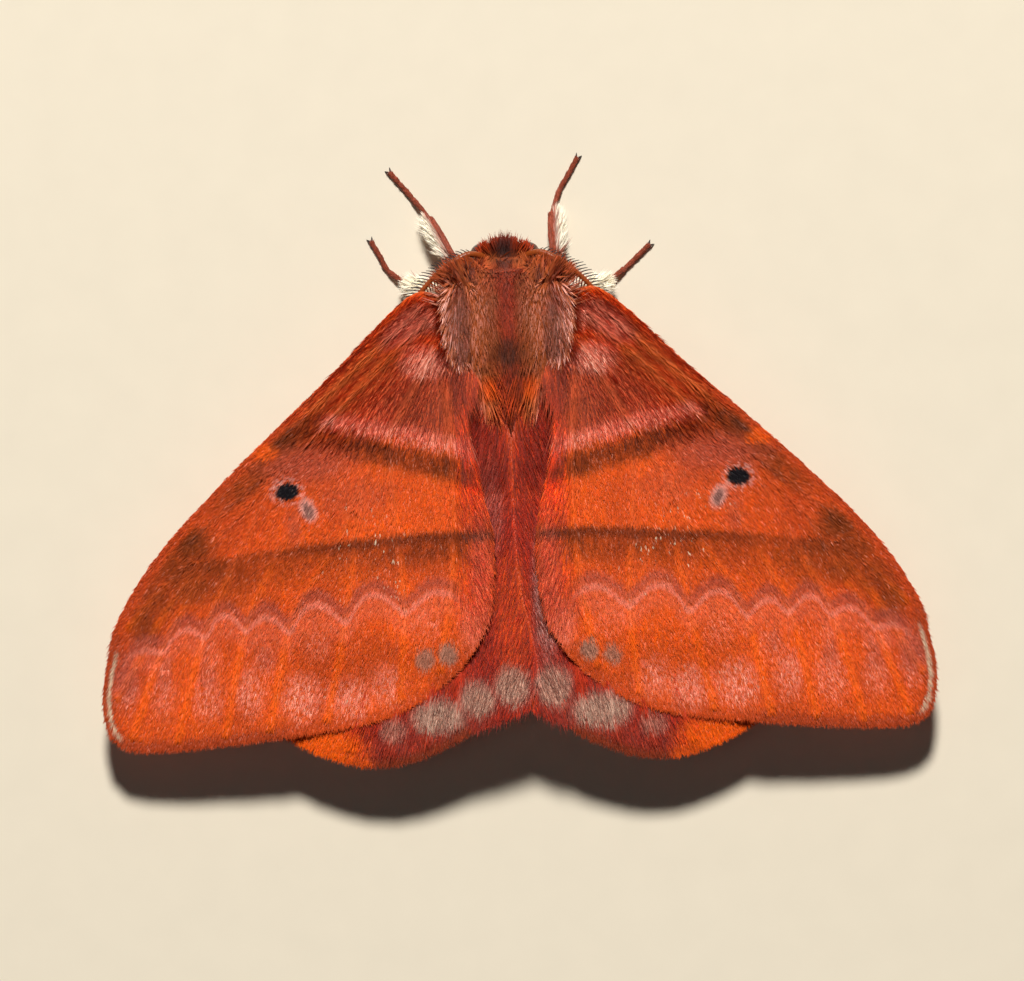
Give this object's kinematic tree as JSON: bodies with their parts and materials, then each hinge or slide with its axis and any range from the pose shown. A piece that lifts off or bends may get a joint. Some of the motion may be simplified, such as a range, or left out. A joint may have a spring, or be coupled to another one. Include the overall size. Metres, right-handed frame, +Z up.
{
  "type": "hirpidine silk moth, resting, life size",
  "caption": "Still, life-size model of a resting rust-red silk moth with its wings spread flat over its back, standing on six feet.",
  "frame": {"origin": "on the floor under the middle of the model's box", "axes": "+X to the moth's right across the wings, +Y to the front along the body, towards the head, +Z up from the floor"},
  "size_m": [0.065, 0.0472, 0.0113],
  "materials": {
    "coat_brown": "grey-brown moth fur with pale tips",
    "coat_orange": "rusty orange moth fur",
    "coat_cream": "cream-white brush of scales",
    "wing_orange": "velvety orange-red wing scales",
    "wing_red": "velvety dark red wing scales",
    "leg_rust": "rust-brown scaled leg",
    "eye_dark": "glossy black compound eye"
  },
  "bodies": {
    "root": {"abdomen": "coat_orange", "antenna_left": "coat_orange", "antenna_right": "coat_orange", "eye_left": "eye_dark", "eye_right": "eye_dark", "fore_left_femur": "coat_brown", "fore_left_foot": "leg_rust", "fore_left_tibia": "coat_cream", "fore_right_femur": "coat_brown", "fore_right_foot": "leg_rust", "fore_right_tibia": "coat_cream", "forewing_left": "wing_orange", "forewing_right": "wing_orange", "head": "coat_orange", "hind_left_femur": "coat_brown", "hind_left_foot": "leg_rust", "hind_left_tibia": "leg_rust", "hind_right_femur": "coat_brown", "hind_right_foot": "leg_rust", "hind_right_tibia": "leg_rust", "hindwing_left": "wing_red", "hindwing_right": "wing_red", "mid_left_femur": "coat_brown", "mid_left_foot": "leg_rust", "mid_left_tibia": "coat_cream", "mid_right_femur": "coat_brown", "mid_right_foot": "leg_rust", "mid_right_tibia": "coat_cream", "palp_left": "coat_orange", "palp_right": "coat_orange", "thorax": "coat_brown"}
  },
  "joints": []
}
